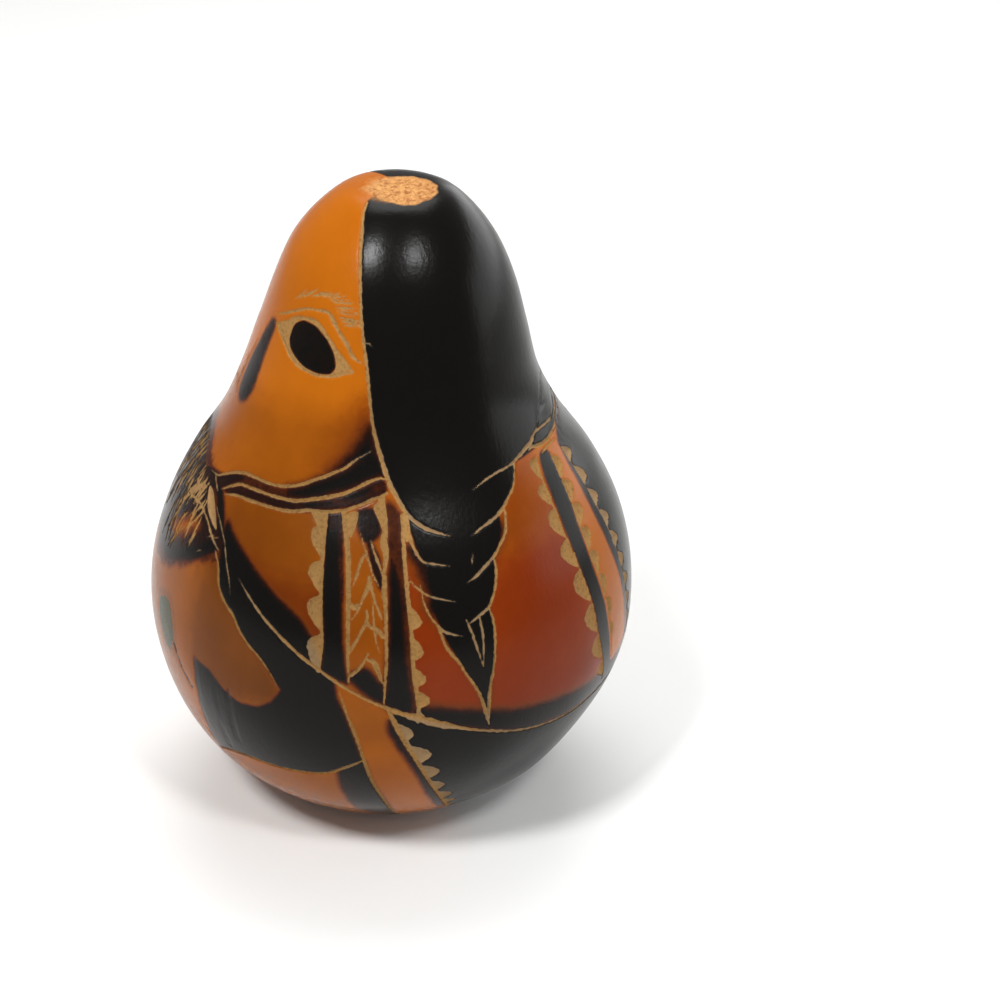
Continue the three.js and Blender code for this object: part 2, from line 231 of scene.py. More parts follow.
# burnt-brown thin lines, drawn with the hot point instead of the graver: place and width
burntLines = {
    "napeUpper": [(59, 112.6, .2), (61.3, 113, .35), (66.5, 114.7, .35), (75.5, 117.1, .35),
        (82, 118.2, .35), (87, 118.6, .35), (90, 118.6, .35)],
    "napeMiddle": [(66, 114.6, .2), (69.8, 115.4, .3), (76.8, 115.2, .3), (90, 115, .3)],
    "napeLower": [(76, 112.4, .2), (80.8, 112.6, .35), (87.2, 113.3, .35), (90, 113.6, .3)],
    "napeBack": [(74, 110.9, .2), (75.8, 110.6, .3), (81.8, 110.9, .35), (90, 111.4, .3)],
    "bandCorner": [(75.8, 110.6, .3), (76, 108.5, .45), (76.3, 106.6, .4), (76, 105.1, .3)],
    "noseBridge": [(-81.5, 122.6, .1), (-82, 117.4, .2), (-78, 114.6, .1)],
    "pleat1": [(-51, 71, .3), (-50.8, 64, .5), (-51.5, 56, .5), (-53, 47, .3)],
    "pleat2": [(-43.6, 68.4, .25), (-43.3, 62, .4), (-43.8, 55, .4), (-44, 50, .2)],
    "pleat3": [(-41.6, 68, .2), (-41.4, 62, .35), (-41.8, 56, .3)],
    "pleat4": [(-39.5, 67, .2), (-39.2, 61, .4), (-39.6, 54, .3)],
    "apronFold": [(-60, 68.6, .35), (-57, 65, .5), (-53, 61.5, .35)],
}
# A border is a carved line with gouged teeth on one side: where each tooth begins and ends, in
# mm from the line's first point, and how far it reaches out. Its steep end is where it begins.
borders = {
    "frontBandA": {"line": [(-19.5, 103.8, .7), (-18.8, 98, .7), (-17.8, 91, .7), (-16.7, 85, .65),
        (-16, 81, .6), (-16.1, 76.4, .35)], "side": -1, "teeth": [(2.2, 8, 2.5), (8.4, 14, 2.4),
        (14.4, 20.6, 2.5), (21.2, 28.4, 2.7)]},
    "frontBandD": {"line": [(2.9, 104.4, .8), (2.8, 98, .75), (3.4, 91, .75), (4.3, 84, .7),
        (4.9, 77, .75), (6.2, 70.6, .8), (6.1, 68, .5)], "side": 1, "teeth": [(19.8, 15.4, 1.9),
        (25.2, 21, 1.9), (30.4, 26.4, 2), (34.6, 31, 2.1), (38.2, 35, 1.5)]},
    "backBandA": {"line": [(54.6, 109, .4), (52.4, 105, .4), (51.3, 100, .35), (51, 95, .3),
        (51.7, 90, .3), (52.7, 85, .3), (54, 80, .3), (55.2, 75, .3), (57.2, 70, .3), (59.6, 65.4, .3),
        (61.6, 61.4, .2)], "side": -1, "teeth": [(.2, 4.4, 2.2), (5, 9.4, 2.3), (9.7, 15.4, 2.7),
        (15.6, 21.4, 3), (21.8, 28.6, 3), (29, 35.4, 3), (36.2, 42.4, 2.7), (43, 47.6, 1.9)]},
    "ropeMarks": {"line": [(62.2, 108, .3), (60.4, 103.6, .25), (58.8, 98.6, .25), (57.8, 93.6, .25),
        (58, 88, .25), (59.2, 83, .2), (60.6, 78, .2), (62, 72, .15), (64, 66, .1)],
        "side": 1, "teeth": [(.6, 5, 2.4), (5.2, 9.6, 2.6), (9.8, 14.2, 2.8), (14.4, 19, 2.6),
        (19.2, 24, 2.3), (24.4, 29, 2), (29.4, 34, 1.6), (34.8, 39, 1.2)]},
    "backBandB": {"line": [(70, 107.6, .2), (70.2, 103, .3), (70, 98, .3), (70.4, 93, .3), (71, 88, .3),
        (71.8, 82, .3), (73, 76, .3), (74.4, 70, .3), (76, 63.6, .2)],
        "side": 1, "teeth": [(3.4, .4, 2.7), (8.4, 4.6, 2.8), (13, 9.4, 2.6), (17.6, 14, 2.5),
        (22.2, 18.6, 2.4), (26.6, 23.2, 2.2), (31, 27.8, 2.1), (35.4, 32.2, 1.9), (39.6, 36.6, 1.7),
        (43.4, 40.8, 1.3)]},
    "ribbonBack": {"line": [(-.6, 69.8, .5), (1.6, 66, 1.1), (3.6, 62.8, 1.1), (6.2, 58.6, .9),
        (8.6, 54.4, .8), (11, 50.4, .7), (13.6, 46.4, .65), (16.2, 42.6, .6), (19.6, 38, .5),
        (24, 32.5, .3)], "side": 1, "teeth": [(7.9, 3.2, 2.1), (14.4, 9, 2.9), (20, 15, 2.6),
        (25.4, 21, 2), (30.4, 26.2, 2.2), (34.2, 31, 2), (38, 35, 1.5)]},
}
# Scraped patches, down to the tan flesh
scrapedPatches = {
    "eyeWhite": [(-62, 132), (-56, 133.4), (-50, 134.8), (-44, 135.7), (-36, 135.4), (-29, 133.4),
        (-22, 130.6), (-17, 129), (-21, 127.9), (-28, 126.9), (-38, 126.9), (-46, 127.9), (-52, 129.6),
        (-58, 131.2)],
    "leaf": [(-63.5, 99.4), (-60, 99), (-56, 96.8), (-52.4, 94), (-55.5, 94.6), (-60, 96.4)],
    "frontBandTop": [(-24.4, 103.7), (-22, 103.9), (-20, 103.9), (-19.4, 101.4), (-20.2, 100),
        (-22, 101.6)],
    "braidStart": [(2.6, 104.6), (4.4, 104.4), (4.8, 101), (3.6, 99.8), (2.7, 101.6)],
    "weaveTop": [(-5.6, 105.8), (-2.6, 107), (-1.6, 104), (-2.4, 101.4), (-4, 103.4)],
    "weaveLeftTop": [(-13.4, 104), (-10, 104.6), (-10.6, 101.6), (-11.8, 100), (-12.6, 101.6)],
}
# Burnt areas: outline, softness of the edge in mm, how dark it gets, from 0 (maroon) to 1 or more
# (black), and whether its sides are rounded
burntAreas = {
    "hairAndBraid": ([(-35, 158.5), (-29.6, 155), (-24.7, 151.6), (-19.3, 145), (-16.6, 140),
        (-13.7, 135), (-10.7, 130), (-8.5, 125), (-6.4, 120), (-3.6, 115), (-.7, 110), (2, 107),
        (4, 104.8), (4.6, 102.6), (5.8, 99.4), (7.4, 97), (8.2, 95.6), (8.4, 93.4), (9.2, 90.6),
        (9, 88.6), (10.6, 85.6), (12.2, 82.6), (15.4, 78), (17.2, 75.6), (19.2, 73), (20.7, 70.4),
        (22.2, 67), (23, 65), (22.8, 68), (22.7, 72), (23.5, 76), (24, 80), (24, 84), (23.3, 87),
        (25.3, 90), (26.4, 93), (26.9, 95.5), (29.6, 98.2), (31, 100), (31.6, 102.4), (33.6, 103.2),
        (37, 104.8), (40, 106.2), (42, 107.8), (44.6, 110), (55, 110.5), (65, 110.2), (75, 110.5),
        (90, 111.3), (96, 112), (96, 166), (-35, 166)], .25, 1, False),
    "twistGlow": ([(3.8, 98.6), (6, 95.4), (8, 91.6), (8.4, 88.4), (11, 86), (12, 90), (11, 96),
        (6.4, 99)], 1.5, .5, True),
    "braidRightGlow": ([(26, 100), (31, 101), (30.4, 98.6), (26, 95.4), (24, 92), (22, 95)],
        1.4, .7, True),
    "tailGlow": ([(11, 85.6), (15, 79.6), (20, 73), (22, 68.4), (21.6, 74), (18, 84)], 1.1, .5, True),
    "jawSmudge": ([(-21, 110.6), (-15, 114), (-11, 117), (-8.4, 119.6), (-5.8, 118.6), (-3.2, 112),
        (-12, 112.4)], 1.5, 1, True),
    "chokerDark": ([(-34, 106.2), (-30, 107.1), (-25.3, 108.8), (-20.7, 110.2), (-16, 111.6),
        (-12, 113.4), (-6.5, 115.2), (-3.4, 114.6), (-1, 110.6), (-3.8, 110.8), (-11.3, 108.7),
        (-20.7, 106.4), (-27, 105.2), (-33, 104.6)], 1.1, 1.3, True),
    "chokerBrown": ([(-56, 103.6), (-53, 104.8), (-44.7, 105.6), (-34, 105.9), (-27, 107.9), (-27, 105.3),
        (-34, 104.3), (-44, 104), (-50, 103.7), (-55, 101.9)], .45, .26, True),
    "chokerLeft": ([(-70, 101.6), (-60, 102.8), (-56.8, 104), (-52, 105), (-50.4, 104.2), (-53, 103.2),
        (-57.6, 100.8), (-62, 99.4), (-70, 99)], .5, .5, True),
    "collarMaroon": ([(-56, 101.6), (-48.3, 103.3), (-34.7, 103.9), (-25.3, 105.1), (-16, 107),
        (-7.6, 109.6), (-3, 110.5), (-2, 108.3), (-9.9, 106), (-20.7, 104), (-30, 102.8), (-47.3, 101.7),
        (-55, 100.5)], .4, .4, True),
    "collarBlackA": ([(-27, 104.6), (-23, 105.4), (-18, 106), (-18, 105), (-23, 104.2), (-27, 103.8)],
        .5, .9, True),
    "collarBlackB": ([(-15, 107), (-9, 108.8), (-6, 109.4), (-6.4, 108.2), (-10, 107), (-15, 106)],
        .5, .9, True),
    "frontStripeA": ([(-19.2, 101.4), (-18.4, 98), (-17.4, 91), (-16.3, 85), (-15.7, 81), (-15.8, 76),
        (-9.7, 74.2), (-10.7, 79), (-11.6, 85), (-12.6, 91), (-13.9, 96), (-15, 101.4)], .5, 1, False),
    "frontStripeATop": ([(-19.4, 103.9), (-18.8, 100.4), (-15.4, 100), (-13.2, 94), (-12.2, 86),
        (-12, 90), (-13.5, 98), (-14.6, 104)], .4, .42, False),
    "weaveTopDark": ([(-10.2, 104.7), (-5.8, 105.4), (-4.2, 103.9), (-3.5, 101.3), (-6.2, 99.6),
        (-8.2, 99.8), (-9.6, 101.8)], .5, .62, True),
    "weaveInnerDark": ([(-7.4, 101), (-5.8, 99.6), (-4.4, 98), (-3.2, 95.6), (-2.8, 91.6), (-4.6, 93.6),
        (-6.2, 97)], .45, .42, True),
    "weaveFoot": ([(-9.4, 75.4), (-7.6, 76.9), (-5.4, 77.4), (-3, 75.2), (-1.8, 74.4), (-1.5, 71),
        (-5, 72.2)], .8, 1, True),
    "frontStripeB": ([(-1, 97), (-.9, 85), (-.9, 75), (-1.1, 70.6), (4.8, 69), (4.2, 75), (3.2, 81),
        (2.4, 88), (1.5, 94)], .7, 1, True),
    "frontStripeBHalo": ([(-1.6, 106), (-1, 98), (-.9, 91), (-.8, 80), (-1, 70.4), (5.2, 69), (4.6, 75),
        (3.9, 81), (3, 91), (2.6, 98), (2.4, 104)], .9, .25, True),
    "hemShadow": ([(-50, 96.8), (-45.6, 95), (-39.5, 92.6), (-33, 89.8), (-27.2, 87.2), (-22, 84.8),
        (-19, 82.6), (-17, 80.4), (-15.8, 78.6), (-15.8, 76), (-20.5, 78), (-30, 82), (-39, 86),
        (-44, 87), (-48, 90), (-50, 94)], .8, 1, True),
    "panelShadow": ([(6, 70.2), (12, 69.4), (20, 68), (30, 66.4), (40, 65.2), (50, 64.2), (60, 63.6),
        (70, 63.6), (80, 64), (90, 64), (90, 59.4), (55, 59.4), (35, 60.4), (20, 63.6), (6, 68)],
        1.3, 1, True),
    "skirtFront": ([(-46, 91.6), (-39, 87.9), (-30, 82.7), (-20.5, 78), (-12.8, 74.6), (-11.8, 71),
        (-9.9, 67.6), (-8.3, 64), (-6.8, 60), (-6, 57.2), (-9, 55.4), (-12, 53.6), (-15, 52.1),
        (-20, 51.1), (-26, 50.5), (-38, 50), (-45, 48.6), (-51.4, 46.4), (-50.8, 58), (-50.6, 69.6),
        (-45, 68.8), (-40, 66), (-36, 65), (-31, 65.6), (-27.4, 67.8), (-25.2, 70.6), (-28, 73.4),
        (-31.2, 75.9), (-34, 77.3), (-37, 79.3), (-39.5, 81.5), (-42.5, 83), (-45.5, 85.3), (-48, 89.6)],
        .5, 1, False),
    "skirtStripe": ([(-6.4, 57), (-11.6, 53.8), (-11.6, 48), (-9.6, 42), (-7, 37), (-4, 33), (0, 29),
        (6, 24), (11, 22), (7, 28), (3, 35.4), (1, 41), (-1, 45.5), (-3.6, 51), (-5.4, 56.4)],
        .7, .8, True),
    "skirtBack": ([(.4, 69), (6, 67.8), (20, 63.5), (46, 59.3), (90, 59.2), (96, 59), (96, 19), (60, 18),
        (40, 20), (30, 26), (24, 32.5), (19.6, 38), (16.2, 42.6), (11, 50.4), (6.2, 58.6), (3.6, 62.8)],
        .35, 1, False),
    "ribbonShade": ([(.2, 67.4), (2.6, 63.6), (5.2, 59.2), (8.4, 54), (11.6, 48.6), (15.8, 42.4),
        (20, 36.6), (17, 38.4), (12, 45), (8, 52), (5, 57), (2, 61.4), (-.2, 65)], .7, .6, True),
    "backStripeA": ([(56.8, 108.9), (54.2, 105.6), (52.5, 101), (51.8, 96), (52.2, 90), (53.2, 85),
        (54.5, 80), (55.7, 75), (57.7, 70), (60.2, 65), (62, 61), (66, 60.6), (63, 66), (61.2, 71),
        (59.8, 76), (58.4, 81), (57.2, 86), (56.8, 91), (57.4, 96), (59.2, 101), (60.8, 105),
        (61.2, 108.6)], .35, 1, True),
    "backBlack": ([(75.6, 110.4), (72.6, 109.4), (70.2, 108.2), (68.4, 104), (67, 98), (67, 93),
        (67.8, 88), (69, 83), (70.4, 78), (71.6, 73), (73.4, 67), (75.6, 61), (96, 60), (96, 110.8),
        (80, 110.6)], .6, 1, False),
    "bundle": ([(-96, 106.2), (-86, 105.8), (-80, 104.6), (-74, 102.8), (-68, 101.6), (-61, 100.6),
        (-56, 98), (-51, 95.4), (-46, 93.4), (-47, 91.2), (-50, 89.6), (-55, 88), (-60, 85.6),
        (-68, 82.6), (-75, 81), (-80, 81.6), (-85, 83.6), (-96, 84)], 1, .5, True),
    "bundleFoot": ([(-76, 83), (-66, 86.4), (-57.7, 90), (-52, 93), (-49, 91), (-54, 88), (-60.8, 85.2),
        (-70, 82)], .8, .9, True),
    "noseShade": ([(-63.6, 131.4), (-68, 131.6), (-72.6, 127), (-76.4, 122.4), (-77, 118), (-74, 115.6),
        (-69, 115.8), (-65.4, 119), (-65.6, 125)], .7, .62, True),
    "iris": ([(-50.6, 131.4), (-49.4, 133.8), (-44.5, 135.1), (-37, 134.9), (-30, 133.2), (-25.4, 131),
        (-23.8, 128.8), (-25.8, 127.5), (-31, 127.1), (-38, 127.4), (-44.6, 128.5), (-49.2, 129.9)],
        .22, .66, False),
    "leafShade": ([(-65, 100.6), (-58, 98.8), (-51, 93), (-48, 92.6), (-52, 97.4), (-58, 101)],
        .6, .7, True),
}
# Patches inside the burnt areas that stay orange, and the softness of their edges in mm
sparedPatches = {
    "knuckles": ([(-73, 88.2), (-69, 91.2), (-64.5, 93), (-60.8, 93.2), (-59, 92.2), (-61.4, 90.6),
        (-65.6, 88.4), (-70.4, 87)], 1.9),
    "ribbonEnd": ([(-11.6, 72), (-6, 70.8), (-1.4, 69.2), (-3, 66), (-8, 66)], .8),
}
# The dye inside each outline: the blend width in mm, how yellow it is, from 0 (red-brown) to 1, and
# how bright, partly the dye's own tone and partly painted shade on the lower, downward-turned areas
dyedAndShadedAreas = {
    "forehead": ([(-96, 134), (-60, 136), (-30, 140), (-14, 138), (-20, 147), (-34, 160), (-96, 166)],
        7, 1, .83),
    "cheekUpper": ([(-96, 118), (-60, 119), (-30, 120), (-10, 126), (-14, 138), (-30, 140), (-60, 136),
        (-96, 134)], 6, .94, .82),
    "cheekLower": ([(-96, 101), (-55, 103), (-20, 110), (-14, 118), (-30, 121), (-60, 119), (-96, 118)],
        5, .82, .52),
    "jawCorner": ([(-26, 110), (-4, 116), (-8, 124), (-20, 119)], 4, .4, .4),
    "shawlUpper": ([(-54, 104), (-20, 107), (-20, 92), (-46, 92)], 5, .74, .29),
    "shawlLower": ([(-42, 90), (-20, 92), (-14, 90), (-14, 76), (-22, 78)], 4, .34, .28),
    "frontTrim": ([(-14, 104), (-2, 106), (-1, 72), (-11, 74)], 3, .7, .42),
    "panelTop": ([(28, 100), (44, 110), (54, 108), (52, 98), (34, 96)], 4, .5, .5),
    "panel": ([(4, 96), (28, 94), (50, 96), (54, 80), (58, 66), (40, 62), (4, 70)], 5, .08, .56),
    "ropeBand": ([(56, 110), (68, 110), (66, 92), (72, 70), (66, 62), (58, 80)], 3, 1, .64),
    "ribbonTop": ([(-12, 72), (0, 69), (2, 62), (-8, 62)], 3, .9, .42),
    "ribbonMiddle": ([(-8, 62), (2, 62), (8, 52), (-4, 50)], 3, .85, .55),
    "ribbonLow": ([(-4, 50), (8, 54), (24, 34), (30, 22), (8, 22)], 3, .85, .64),
    "hand": ([(-50, 92), (-25, 72), (-30, 66), (-52, 66)], 3, 1, .19),
    "arm": ([(-96, 84), (-55, 86), (-50, 80), (-52, 60), (-96, 60)], 5, 1, .44),
    "lowerFront": ([(-96, 60), (-52, 58), (-40, 50), (-8, 54), (-8, 18), (-96, 18)], 6, .95, .5),
}
# A small bare oval plate on the photo's side only
plateOutline = [(-70.9, 74), (-69, 75.8), (-66, 76.6), (-63, 76.3), (-60.6, 73.4), (-59.4, 69.6),
                (-61.6, 66), (-64.6, 65.2), (-67.4, 67.4), (-70.2, 70.6)]
# Strokes cut with the tip. browFan: start in degrees and mm, then lean and rise of the stroke there
hatching = {
    "seed": 7,
    "browStrokes": 15,
    "browFan": [(-54, 137.8, 6, 2.2), (-47.5, 139, 7, 2), (-41, 139.8, 8, 1.4), (-35, 140.2, 9, .9),
        (-31, 139.8, 10, .5), (-28.6, 138.9, 10.4, .3), (-26.4, 137.8, 10, .2), (-24.2, 136.7, 9, .2),
        (-22, 135.7, 7, .1)],
    "browWidth": .4,
    "bundleStrokes": 100,
    "bundleWidth": .42,
    "bundleAcross": (-94, 33),  # first degree, and how many they start in
    "bundleRoof": ([-92, -80, -68, -50], [104.6, 103.2, 100, 94]),  # top in mm at these degrees
    "bundleFloor": ([-92, -80, -60, -50], [85, 82, 86, 90]),
    "nickStrokes": 3,
    "nickArea": (-60, 7.5, 88, 5.5),  # first degree, how many, first mm, how many
}


# short strokes from a seeded table: those of the brow stand in a row along the fan, the others
# start anywhere in their area, and each is a curve from its start over a bulge to its tip
def hatchStrokes():
    random = np.random.default_rng(hatching["seed"])
    strokes = {}
    fan = np.array(hatching["browFan"])
    for k in range(hatching["browStrokes"]):
        step = (len(fan) - 1) * (k + random.uniform(-.25, .25)) / hatching["browStrokes"]
        a, s, lean, rise = (np.interp(step, range(len(fan)), fan[:, column]) for column in range(4))
        rise += random.uniform(-.25, .25)
        width = hatching["browWidth"] * random.uniform(.75, 1.2)
        bulge = (a + .5 * lean, s + .5 * rise, width)
        strokes[f"brow{k}"] = [(a, s, .24), bulge, (a + lean, s + rise, .24)]
    for k in range(hatching["bundleStrokes"]):
        first, across = hatching["bundleAcross"]
        a = first + across * random.random()
        roof = np.interp(a, *hatching["bundleRoof"])
        s = random.uniform(np.interp(a, *hatching["bundleFloor"]), roof - 2)
        length = random.uniform(4, 9)
        lean = random.uniform(-1, 4)
        bend = random.uniform(-1, 1)
        width = hatching["bundleWidth"] * random.uniform(.6, 1.3)
        top = min(s + length, roof + .6)
        bulge = (a + .5 * lean + bend, .5 * (s + top), width)
        strokes[f"bundle{k}"] = [(a, s, .05), bulge, (a + lean, top, .05)]
    for k in range(hatching["nickStrokes"]):
        first, across, low, tall = hatching["nickArea"]
        a = first + across * random.random()
        s = low + tall * random.random()
        strokes[f"nick{k}"] = [(a, s, .05), (a + 1.1, s + .7, .28), (a + 2.3, s + 1.1, .05)]
    return strokes


# nearest place on a chain of segments: for each vertex the foot of the perpendicular on every
# segment, clamped to its ends. Degrees count as radius x angle at the vertex.
# Gives distance, which side (+1 left of the direction of travel), length along, and width there.
def nearestOnChain(angle, along, perDegree, chain, reach):
    pad = reach / np.maximum(perDegree, .05)
    near = ((angle > chain[:, 0].min() - pad) & (angle < chain[:, 0].max() + pad)
            & (along > chain[:, 1].min() - reach) & (along < chain[:, 1].max() + reach))
    rows = np.flatnonzero(near)
    if not len(rows):
        return rows, None, None, None, None
    a, s, k = angle[rows, None], along[rows, None], perDegree[rows, None]
    start, end = chain[:-1], chain[1:]
    segX, segY = (end[:, 0] - start[:, 0]) * k, (end[:, 1] - start[:, 1])[None, :]
    offX, offY = (a - start[:, 0]) * k, s - start[:, 1]
    size2 = np.maximum(segX**2 + segY**2, 1e-9)
    t = np.clip((offX * segX + offY * segY) / size2, 0, 1)
    distance2 = (offX - t * segX)**2 + (offY - t * segY)**2
    best = np.argmin(distance2, axis=1)
    pick = np.arange(len(rows))
    distance = np.sqrt(distance2[pick, best])
    turned = segX * offY - segY * offX
    side = np.sign(turned[pick, best])
    lengths = np.hypot((end[:, 0] - start[:, 0]) * np.mean(k), end[:, 1] - start[:, 1])
    travelled = np.r_[0, np.cumsum(lengths)]
    share = t[pick, best]
    place = travelled[best] + share * lengths[best]
    width = None
    if chain.shape[1] > 2:
        width = start[best, 2] + share * (end[best, 2] - start[best, 2])
    return rows, distance, side, place, width


# signed distance to a closed outline, positive inside: the distance to its sides, and the
# even-odd count of sides crossed by a ray for the sign. It is held within the reach, and where
# the reach is a whole number, it is cut to whole mm.
def insideOutline(angle, along, perDegree, outline, reach, smooth=True):
    ring = throughPoints(outline, perPiece=5, closed=True) if smooth else np.asarray(outline, float)
    chain = np.vstack([ring, ring[:1]])
    value = np.full(len(angle), -reach)
    inBox = ((angle >= chain[:, 0].min()) & (angle <= chain[:, 0].max())
             & (along >= chain[:, 1].min()) & (along <= chain[:, 1].max()))
    rows = np.flatnonzero(inBox)
    if len(rows):
        a, s = angle[rows, None], along[rows, None]
        a0, s0, a1, s1 = chain[:-1, 0], chain[:-1, 1], chain[1:, 0], chain[1:, 1]
        rise = np.where(s1 == s0, 1e-9, s1 - s0)
        crossed = ((s0 > s) != (s1 > s)) & (a < (a1 - a0) * (s - s0) / rise + a0)
        value[rows[crossed.sum(axis=1) % 2 == 1]] = reach
    near, distance, *_ = nearestOnChain(angle, along, perDegree, chain, reach)
    if len(near):
        value[near] = np.sign(value[near]) * np.minimum(distance, reach)
    return value


# angle brought between -180 and 180 degrees
def wrapAngle(angle):
    return (angle + 180) % 360 - 180


# chart place on the drawn half, from the true place: the far half is folded over x = 0 and
# strays by slow sines that die out at both folds. Gives angle, length and mm per degree.
def foldChart(angle, along):
    wrapped = wrapAngle(angle)
    far = np.abs(wrapped) > 90
    folded = np.where(far, -180 - wrapped, wrapped)
    folded = np.where(folded < -180, folded + 360, folded)
    strayA, strayS = gourd["mirrorWander"]
    hold = np.where(far, 1 - np.abs(folded / 90) ** 6, 0)
    folded = folded + hold * strayA * (np.sin(along / 9 + folded / 17) + .5 * np.sin(along / 4.1))
    up = along + hold * strayS * (np.sin(folded / 11 + 2) + .6 * np.sin(folded / 5.3 + along / 13))
    perDegree = np.interp(along, sideAlong, sideCurve[:, 0]) * math.pi / 180
    return folded, up, perDegree


# smooth made-up roughness: a sum of sines in seeded directions, about unit height
def ripple(points, lengths, seed):
    random = np.random.default_rng(seed)
    total = np.zeros(len(points))
    for length in lengths:
        direction = random.normal(size=3)
        direction /= np.linalg.norm(direction)
        phase = random.uniform(0, 6.28)
        total += np.sin(points @ direction * (2 * math.pi / length) + phase)
    return total / math.sqrt(len(lengths))


# How the graver and the hot point worked, in mm
carving = {
    "lineDepth": .42,        # depth of a line per mm of its width, nearly
    "borderDepth": .38,
    "toothDepth": .34,
    "scrapedDepth": .18,
    "burntLineDepth": .16,
    "ragged": .06,           # how unevenly the graver ran
    "raggedLengths": (.8, 1.1, 1.5, 2.3),
    "chatter": .05,          # height of the marks left on bare flesh
    "chatterLengths": (.8, 1, 1.3, 1.9),
    "reach": 2.5,            # distances to a line are worked out this far from it
    "toothReach": 4,         # and this far from a border
}


# V groove: deepest x 1.4 width, which stops growing at .8, x (1 - .9 distance / half width)^.8
def grooveDepth(deepest, width, half, distance):
    wall = np.clip(1 - distance / np.maximum(half, .02) * .9, 0, 1) ** .8
    return deepest * np.minimum(1.4 * width, .8) * wall


# how far the carving has cut away each vertex. cut = half the line's width - distance to it, and
# the largest of these. depth = the deepest groove, tooth, burnt line or scraped patch there. A
# tooth reaches out by its length x sin(pi t^.6)^.8, with t running from its beginning to its end.
def carvingFields(angle, along):
    chart = foldChart(angle, along)
    ragged = carving["ragged"] * ripple(skinPoint(angle, along), carving["raggedLengths"], seed=11)
    reach = carving["reach"]
    cut = np.full(len(angle), -reach)
    depth = np.zeros(len(angle))
    for chain in allLines.values():
        rows, distance, side, place, width = nearestOnChain(*chart, chain, reach)
        if len(rows):
            half = width / 2 + ragged[rows] * np.minimum(width / .5, 1)
            cut[rows] = np.maximum(cut[rows], half - distance)
            groove = grooveDepth(carving["lineDepth"], width, half, distance)
            depth[rows] = np.maximum(depth[rows], groove)
    for name, chain in allBorders.items():
        rows, distance, side, place, width = nearestOnChain(*chart, chain, carving["toothReach"])
        if not len(rows):
            continue
        width = width + 1.6 * ragged[rows] * np.minimum(width / .5, 1)
        towards = borders[name]["side"] * side
        reachOut = np.zeros(len(rows))
        hollow = np.zeros(len(rows))
        for begin, stop, length in borders[name]["teeth"]:
            t = (place - begin) / (stop - begin)
            lobe = np.sin(np.pi * np.clip(t, 0, 1) ** .6) ** .8
            shape = np.where((t > 0) & (t < 1), lobe, 0)
            reachOut = np.maximum(reachOut, (length + 2 * ragged[rows]) * shape)
            hollow = np.maximum(hollow, shape)
        outer = np.where(towards > 0, np.maximum(width / 2, reachOut) - distance, width / 2 - distance)
        cut[rows] = np.maximum(cut[rows], np.maximum(outer, -reach))
        tooth = carving["toothDepth"] * hollow * smoothStep(-.05, .7, outer) * (towards > 0)
        groove = grooveDepth(carving["borderDepth"], width, width / 2, distance)
        depth[rows] = np.maximum(depth[rows], np.maximum(tooth, groove))
    for chain in allBurnt.values():
        rows, distance, side, place, width = nearestOnChain(*chart, chain, reach)
        if len(rows):
            sunk = carving["burntLineDepth"] * smoothStep(1.1, 0, distance / np.maximum(width, .05))
            depth[rows] = np.maximum(depth[rows], sunk)
    for outline in scrapedPatches.values():
        inside = insideOutline(*chart, outline, reach)
        cut = np.maximum(cut, inside)
        depth = np.maximum(depth, carving["scrapedDepth"] * smoothStep(-.1, .5, inside))
    iris = insideOutline(*chart, burntAreas["iris"][0], reach)
    cut = np.where(iris > -1.5, np.minimum(cut, -iris), cut)
    depth = depth * smoothStep(.15, -.15, iris)
    return cut, depth


# How the burn field is made. It counts softnesses inward from an area's edge.
burning = {
    "unburnt": -6.,       # its value far outside
    "spareReach": 5,      # softnesses that an area or a spared patch reaches past its edge
    "least": 1.6,         # mm that every area and line reaches
    "crispBelow": .7,     # mm: the mesh is fine along edges that are less soft than this
    "lineSoftness": .2,   # mm
    "lineDarkest": .7,    # the field's highest value on a burnt line
}


# how burnt each vertex is: for each area the distance inside it over its softness, held below
# its darkest value, and the largest of these. Spared patches hold it down again. crisp is the
# distance to the nearest sharp border.
def burntFields(angle, along):
    chart = foldChart(angle, along)
    burn = np.full(len(angle), burning["unburnt"])
    farOff = 9.
    crisp = np.full(len(angle), farOff)
    for outline, soft, darkest, smooth in burntAreas.values():
        reach = max(burning["least"], burning["spareReach"] * soft)
        inside = insideOutline(*chart, outline, reach, smooth)
        heat = np.where(inside <= -reach, burning["unburnt"], inside / soft)
        burn = np.maximum(burn, np.minimum(heat, 1.8 * darkest - .3))
        if soft < burning["crispBelow"]:
            crisp = np.minimum(crisp, np.abs(inside))
    for outline, soft in sparedPatches.values():
        reach = burning["spareReach"] * soft
        inside = insideOutline(*chart, outline, reach)
        burn = np.minimum(burn, np.where(inside <= -reach, farOff, -inside / soft))
    for chain in allBurnt.values():
        rows, distance, side, place, width = nearestOnChain(*chart, chain, burning["least"])
        if len(rows):
            heat = np.minimum((width / 2 - distance) / burning["lineSoftness"], burning["lineDarkest"])
            burn[rows] = np.maximum(burn[rows], heat)
            crisp[rows] = np.minimum(crisp[rows], distance)
    return burn, crisp


# signed distance inside the plate, which the far half doesn't have
def plateField(angle, along):
    reach = 2
    far = np.abs(wrapAngle(angle)) > 90
    return np.where(far, -reach, insideOutline(*foldChart(angle, along), plateOutline, reach))
